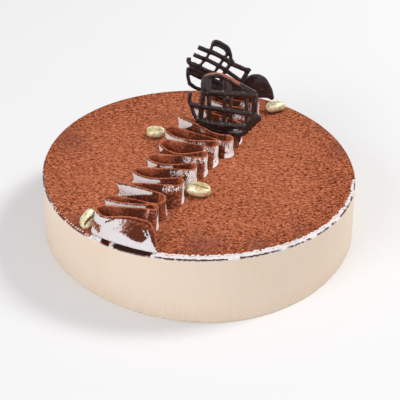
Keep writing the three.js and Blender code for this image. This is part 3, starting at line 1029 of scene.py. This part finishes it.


# How bare of cocoa the cream is, and the tone of its cocoa with painted shade, at a place on the ribbon:
# darker in the valleys and towards the foot, with a painted shadow line under the crest. outer is the side
# that faces the viewer on the walls and out of the turns.
def dustingAndShade(place, level, outer):
    kind, fold, share = place
    plan = folds[fold]
    crest = rise(0.955, 0.98, level)
    # painted shadow line under the overhanging crest
    lipShade = between(0.91, 0.955, level, 0.012)
    bare, tone = 0.0, 0.45
    if outer and kind == "face":
        bare, tone = faceDustingAndShade(share, level)
    elif outer and kind in ("tip", "pass") and fold:
        bare, tone = wallDustingAndShade(kind, plan, share, level)
    elif outer and kind == "tip":
        bare = rise(0.6, 0.85, share) * rise(0.3, 0.5, level)
    elif outer and kind == "loop":
        bare, tone = loopDusting(fold, plan, share, level)
    elif outer:
        bare = 0.5 * rise(0.5, 0.75, level) * fall(0.7, 1, share / max(0.01, plan["streaks"]))
        # painted shade: the front of the wall is darkest in the middle of the valley and towards its foot
        tone = lerp(0.46, 0.0, rise(0.0, 0.2, share) * fall(0.3, 0.85, share)) - 0.36 * (1 - level)
    elif kind in ("pass", "tip", "wall"):
        # painted shade: the inner sides darken towards the foot
        tone = 0.4 - 0.2 * (1 - level)
    if outer and kind in ("pass", "face"):
        bare *= 1 - max(crest, lipShade)
        tone = lerp(tone, -0.15, lipShade * (1 - crest))
    crestTone = tone + 0.16 if kind == "wall" else 0.52
    return bare * (1 - crest), lerp(tone, crestTone, crest)


# The ribbon as a closed wall, with the bareness, the tone and the shade of each of its points
def makeRibbon():
    steps, ring = ruffle["levels"], ruffle["ring"]
    routes = [softened(wholeRoute(level)[0]) for level in shares(steps + 1)]
    places = wholeRoute(1.0)[1]
    count = len(places)
    normals = []
    for route in routes:
        ways = [Vector(route[min(count - 1, i + 1)]) - Vector(route[max(0, i - 1)]) for i in range(count)]
        normals.append([Vector((-way.y, way.x)).normalized() for way in ways])

    def centreAt(station, level):
        step = level * steps
        low = min(steps - 1, int(step))
        centre = Vector(routes[low][station]).lerp(Vector(routes[low + 1][station]), step - low)
        return centre, normals[low][station].lerp(normals[low + 1][station], step - low)

    bpy.ops.mesh.primitive_grid_add(x_subdivisions=count - 1, y_subdivisions=ring, size=2)
    piece = bpy.context.object
    marks = []
    for vertex in piece.data.vertices:
        station = round((vertex.co.x + 1) / 2 * (count - 1))
        around = round((vertex.co.y + 1) / 2 * ring) / ring * 2 - 1     # 0 at the crest, -1 and 1 at the foot
        half, level = sectionPoint(abs(around))
        if abs(around) == 1:
            half = 0.0
        kind, fold, share = places[station]
        left = around < 0
        drop = 1 - frontFold["endDrop"] * hookShare(share) ** 2 if kind == "face" else 1.0
        centre, side = centreAt(station, level)
        spot = centre + side * (half if left else -half)
        vertex.co = (spot.x, spot.y, level * ruffle["height"] * drop)
        outer = left if kind in ("loop", "wall") else not left
        marks.append((vertex.co.copy(), *dustingAndShade(places[station], level, outer), float(kind == "face")))
    setMode("EDIT")
    bpy.ops.mesh.select_all(action="SELECT")
    bpy.ops.mesh.remove_doubles(threshold=nearly)
    bpy.ops.mesh.fill_holes(sides=0)
    bpy.ops.mesh.normals_make_consistent(inside=False)
    setMode("OBJECT")
    return piece, marks


def fuse(piece, voxel, softening):
    remesh = piece.modifiers.new("fuse", "REMESH")
    remesh.mode = "VOXEL"
    remesh.voxel_size = voxel
    soft = piece.modifiers.new("soften", "SMOOTH")
    soft.factor = 0.5
    soft.iterations = softening
    applyModifiers(piece)


# The fused ribbon has new points, and each takes its marks from the three nearest old ones
def makeRuffle():
    piece, marks = makeRibbon()
    tree = KDTree(len(marks))
    for index, mark in enumerate(marks):
        tree.insert(mark[0], index)
    tree.balance()
    fuse(piece, ruffle["voxel"], ruffle["softening"])
    normals = [vertex.normal.copy() for vertex in piece.data.vertices]
    blended = []
    for vertex, normal in zip(piece.data.vertices, normals):
        point = vertex.co
        nearest = [(1 / (distance + 0.05), marks[index]) for spot, index, distance in tree.find_n(point, 3)]
        total = sum(weight for weight, mark in nearest)
        blended.append([sum(weight * mark[column] for weight, mark in nearest) / total
                        for column in (1, 2, 3)])
        vertex.co = point + normal * ruffle["relief"] * noise.fractal(point * 0.45, 0.9, 2.0, 3)
    paint(piece, ("bare", "tone", "shaded"), blended)
    piece.data.transform(placement((*ruffle["centre"], ruffle["base"]), ("Z", ruffle["turn"])))
    finishPiece(piece, "creamRuffle", finishes["dustedCream"], "whipped_cream", "cream_ruffle")


makeRuffle()


# Piped lattices, drawn in a plane of their own (X along it, Y up it) that leans and turns on the cake:
# width of each bar, then its points
lattices = {
    "front": {
        "node": "chocolate_lattice_front",
        "at": (18, 28, 46), "yaw": -10, "lean": 8, "turn": 0, "dust": 1.0,
        "bars": (
            (2.8, (-24.2, 33), (-24.6, 27.2), (-22.8, 21.8), (-20.7, 16.4), (-17.3, 12.5)),
            (4.3, (-17.3, 12.5), (-11.9, 9.2), (-5.9, 7.2), (2.7, 6.4), (12.4, 8)),
            (4.1, (-15.4, 34), (-15.2, 41.6), (-13.6, 44), (-9.6, 45.5), (-4.4, 45.6), (0.4, 43.9), (6, 41.2),
                  (11, 38.8), (18.2, 35.6)),
            (3.7, (-15.2, 42.4), (-15.8, 33), (-16.6, 23.8), (-17, 13)),
            (3.4, (-12.2, 44.4), (-12.1, 32), (-11.4, 21.5), (-10.8, 9)),
            (4.5, (-13.6, 43), (-13.9, 35)),
            (2.8, (-2, 45.4), (-1.8, 33), (-1.7, 21), (-1.6, 8)),
            (2.4, (0.8, 44.4), (2, 33), (2.7, 21.5), (3.2, 7)),
            (3.9, (-0.6, 44), (0, 35)),
            (2.8, (11.2, 38.6), (12.4, 30.7), (12.8, 22.5), (13.2, 8)),
            (3.9, (18, 35.4), (17.8, 28), (17.2, 21), (14.6, 10)),
            (4.4, (-16.4, 33.4), (-6.8, 33.9), (1.6, 34.2), (11.3, 34.5), (18.2, 34.6)),
            (3.5, (-24.4, 24.4), (-15.7, 23.4), (-6.5, 22.8), (2, 22.3), (11.8, 21.5), (18.3, 21),
                  (21.4, 19.4)),
            (4.3, (-19.6, 14.4), (-14.7, 12.6), (-6.1, 11.8), (3.7, 11.8), (13.2, 12.4)),
            (3.7, (-14.6, 10.8), (-6, 9.4), (1.6, 9)),
            (3.0, (5, 8), (7.4, 0.4)),
            (3.0, (9.4, 8), (8, 1)),
        ),
        "puddle": ((12.6, 13), (16, 19.6), (19, 20.6), (22.6, 19.6), (19.4, 14.6), (15.6, 10.2), (12, 7.2),
                   (10.8, 9.4)),
    },
    "back": {
        "node": "chocolate_lattice_back",
        "at": (26, 66, 44.6), "yaw": 0, "lean": 10, "turn": -28, "dust": 0.0,
        "bars": (
            (2.7, (-37.9, 35.8), (-37.6, 38.1), (-35.2, 39.1), (-31.4, 39.1), (-27.6, 38.4), (-24.8, 36),
                  (-22, 32.4)),
            (2.2, (-37.6, 35.4), (-35.4, 36.6), (-32, 36.9), (-28.4, 36.4), (-25.8, 34.6)),
            (3.5, (-45.5, 29.7), (-39.8, 30.2), (-35.1, 30.9), (-28.2, 31), (-20.2, 30.2), (-13.5, 30.6),
                  (-7.1, 31)),
            (3.1, (-45.8, 23.8), (-41.1, 24.1), (-36.1, 24.7), (-25.5, 24.6), (-16, 23.4), (-7, 22)),
            (3.3, (-47.3, 20.6), (-45.9, 17.7), (-41.5, 17.9), (-33.9, 17.8), (-26.6, 18.4), (-8, 18)),
            (3.8, (-44.4, 14.4), (-39.1, 14.9), (-33.5, 14.4), (-20, 14.4), (-4, 16.6)),
            (3.0, (-43.6, 11.6), (-37.4, 11.5), (-30, 12)),
            (4.2, (-27.6, 9.6), (-20, 10.6), (-12, 13)),
            (2.7, (-44.6, 14.2), (-42.4, 9.5), (-38.9, 5)),
            (3.0, (-39.4, 4.8), (-33.2, 3.9), (-28, 4.8), (-14, 6), (2, 9), (10, 15)),
            (2.2, (-38, 36.4), (-37, 31.2), (-37, 25.6), (-38.6, 18)),
            (2.3, (-25.8, 36.4), (-26.6, 29.6), (-27.2, 23.4), (-28, 5.4)),
            (2.8, (-20.6, 33), (-21.3, 26.9), (-21.6, 22.6), (-18, 5.6), (-16, -3)),
            (3.2, (-8, 33), (-8.4, 26), (-6, 7), (-4, 1.4)),
        ),
        "puddle": ((-8, 21), (-6.6, 27), (-3, 31), (3, 32.4), (9.6, 29.2), (14.2, 25.2), (16.2, 21),
                   (12.6, 20.4), (7, 17.6), (3, 15.4), (-3, 17.6)),
    },
}
piping = {
    "flatness": 0.5,
    "unevenness": 0.08,
    "voxel": 0.34,
    "melt": 9,
    "puddleThickness": 2.0,
    "puddleInset": 0.4,
}


# A smooth curve through points of the lattice's plane
def pipedCurve(points, closed=False):
    data = bpy.data.curves.new("piping", "CURVE")
    spline = data.splines.new("BEZIER")
    spline.bezier_points.add(len(points) - 1)
    for knot, (x, y) in zip(spline.bezier_points, points):
        knot.co = (x, y, 0)
        knot.handle_left_type = knot.handle_right_type = "AUTO"
    spline.use_cyclic_u = closed
    curve = bpy.data.objects.new("piping", data)
    bpy.context.scene.collection.objects.link(curve)
    return curve


def makeBar(width, points):
    curve = pipedCurve(points)
    curve.data.dimensions = "3D"
    curve.data.bevel_depth = width / 2
    curve.data.bevel_resolution = 4
    curve.data.use_fill_caps = True
    for index, knot in enumerate(curve.data.splines[0].bezier_points):
        uneven = noise.noise(Vector((index * 3.1, width * 7, points[0][0])))
        knot.radius = 1.0 + piping["unevenness"] * uneven
    curve.scale.z = piping["flatness"]
    return curve


def makePuddle(points):
    curve = pipedCurve(points, closed=True)
    curve.data.dimensions = "2D"
    curve.data.fill_mode = "BOTH"
    curve.data.extrude = piping["puddleThickness"] / 4
    curve.data.bevel_depth = piping["puddleThickness"] / 4
    curve.data.bevel_resolution = 3
    curve.data.offset = -piping["puddleInset"]
    return curve


# Cocoa on the upper side of the topmost bar, whose arch falls towards both ends
def barDusting(x, y, facing):
    arch = lerp(47.2, 42.0, rise(-2, 9, x)) - lerp(3.4, 0, rise(-16.5, -8, x))
    least = lerp(0.3, -0.15, rise(-7, 0, x))
    return rise(arch - 2.8, arch - 1, y) * rise(least, least + 0.3, facing) * fall(6, 10, x)


def makeLattice(name, plan):
    curves = [makeBar(width, points) for width, *points in plan["bars"]]
    curves.append(makePuddle(plan["puddle"]))
    onlySelected(*curves)
    bpy.ops.object.convert(target="MESH")
    bpy.ops.object.join()
    piece = bpy.context.object
    bpy.ops.object.transform_apply(location=True, rotation=True, scale=True)
    fuse(piece, piping["voxel"], piping["melt"])
    paint(piece, ["dust"], [[plan["dust"] * barDusting(vertex.co.x, vertex.co.y, vertex.normal.y)]
                            for vertex in piece.data.vertices])
    upright = 90 - plan["lean"]
    piece.data.transform(placement(plan["at"], ("Z", plan["yaw"]), ("X", upright), ("Z", plan["turn"])))
    finishPiece(piece, name, finishes["darkChocolate"], "dark_chocolate", plan["node"])


makeLattice("frontLattice", lattices["front"])
makeLattice("backLattice", lattices["back"])


# Gilded coffee beans, turned, tilted and rolled in degrees; share and length are of the size here
bean = {
    "size": (16.4, 10.8, 7.9),
    "fullness": 2.5,
    "gap": 0.1,
    "grooveDepth": 1.5,
    "grooveHalf": 0.6,
    "grooveLip": 0.25,
    "bend": 0.09,
    "lumps": 0.056,
}
beans = (
    {"at": (-64.8, -63.4), "share": 0.8, "length": 1.0, "turn": 60, "tilt": 24, "roll": 52, "lift": 0.6},
    {"at": (0.4, -31.6), "share": 0.95, "length": 1.0, "turn": -15, "tilt": 0, "roll": 6, "lift": 0.0},
    {"at": (-27.9, 37.2), "share": 0.85, "length": 0.88, "turn": -3, "tilt": 0, "roll": 4, "lift": 0.0},
    {"at": (52.4, 71.0), "share": 0.87, "length": 1.0, "turn": 25, "tilt": 0, "roll": -6, "lift": 0.0},
)


def makeBean(number, spot):
    bpy.ops.mesh.primitive_uv_sphere_add(segments=56, ring_count=36, radius=0.5)
    piece = bpy.context.object
    length, width, height = (size * spot["share"] for size in bean["size"])
    lift = spot["lift"] + bean["gap"]
    power = bean["fullness"]
    marks = []
    for vertex in piece.data.vertices:
        ball = vertex.co * sum(abs(2 * side) ** power for side in vertex.co) ** (-1 / power)
        point = Vector((ball.x * length * spot["length"], ball.y * width, ball.z * height))
        line = -bean["bend"] * width * math.sin(ball.x * 2 * math.pi)
        away = (point.y - line) / bean["grooveHalf"]
        ends = fall(0.74, 0.9, abs(ball.x * 2))
        inGroove = 0.0
        if ball.z > 0:
            point.z -= bean["grooveDepth"] * math.exp(-away * away) * ends
            point.z += bean["grooveLip"] * math.exp(-((abs(away) - 2.2) ** 2)) * ends
            inGroove = math.exp(-(away * 0.9) ** 2) * ends
        # painted shade in the groove, and painted shadow and reflection of the dark cocoa on the lower part
        marks.append([max(inGroove, 0.9 * fall(-0.3, 0.02, ball.z))])
        lump = noise.noise(point * 0.5 + Vector((number * 7.0, 0, 0)))
        vertex.co = point * (1 + bean["lumps"] * lump)
    paint(piece, ["groove"], marks)
    place = (*spot["at"], cakeHeight + height / 2 + lift)
    piece.data.transform(placement(place, ("Z", spot["turn"]), ("Y", -spot["tilt"]), ("X", spot["roll"])))
    finishPiece(piece, f"coffeeBean{number}", finishes["goldLustre"], "gilded_chocolate",
                f"coffee_bean_{number}")


for number, spot in enumerate(beans, 1):
    makeBean(number, spot)


# Floor and light
studio = {
    "floor": (0.83, 0.83, 0.835, 1),
    "floorSize": 8.0,
    "sky": (0.97, 0.97, 1.0, 1),
    "skyStrength": 0.6,
    "aim": (0, 0, 0.04),
}
# Softboxes: place in metres, width and height, power in watts, colour
lamps = {
    "key": ((1.1, 0.35, 1.4), (0.5, 0.5), 16.0, (1, 0.98, 0.95)),
    "fill": ((-1.2, -1.4, 1.1), (1.2, 1.0), 17.5, (0.97, 0.98, 1)),
}


def addLamp(name, place, size, power, colour):
    data = bpy.data.lights.new(name, "AREA")
    data.shape = "RECTANGLE"
    data.size, data.size_y = size
    data.energy = power
    data.color = colour
    lamp = bpy.data.objects.new(name, data)
    bpy.context.scene.collection.objects.link(lamp)
    lamp.location = place
    lamp.rotation_euler = (Vector(studio["aim"]) - Vector(place)).to_track_quat("-Z", "Y").to_euler()


def makeStudio():
    bpy.ops.mesh.primitive_plane_add(size=studio["floorSize"], location=(0, 0, 0))
    floor = bpy.context.object
    floor.name = "floor"
    material, tree, shader = newFinish("paleFloor")
    setShader(tree, shader, Base_Color=studio["floor"], Roughness=0.9)
    floor.data.materials.append(material)
    world = bpy.data.worlds.new("studio")
    bpy.context.scene.world = world
    world.use_nodes = True
    sky = world.node_tree.nodes["Background"]
    sky.inputs["Color"].default_value = studio["sky"]
    sky.inputs["Strength"].default_value = studio["skyStrength"]
    for name, lamp in lamps.items():
        addLamp(name, *lamp)
    bpy.context.scene.view_settings.view_transform = "Standard"


makeStudio()
print("studio lit")
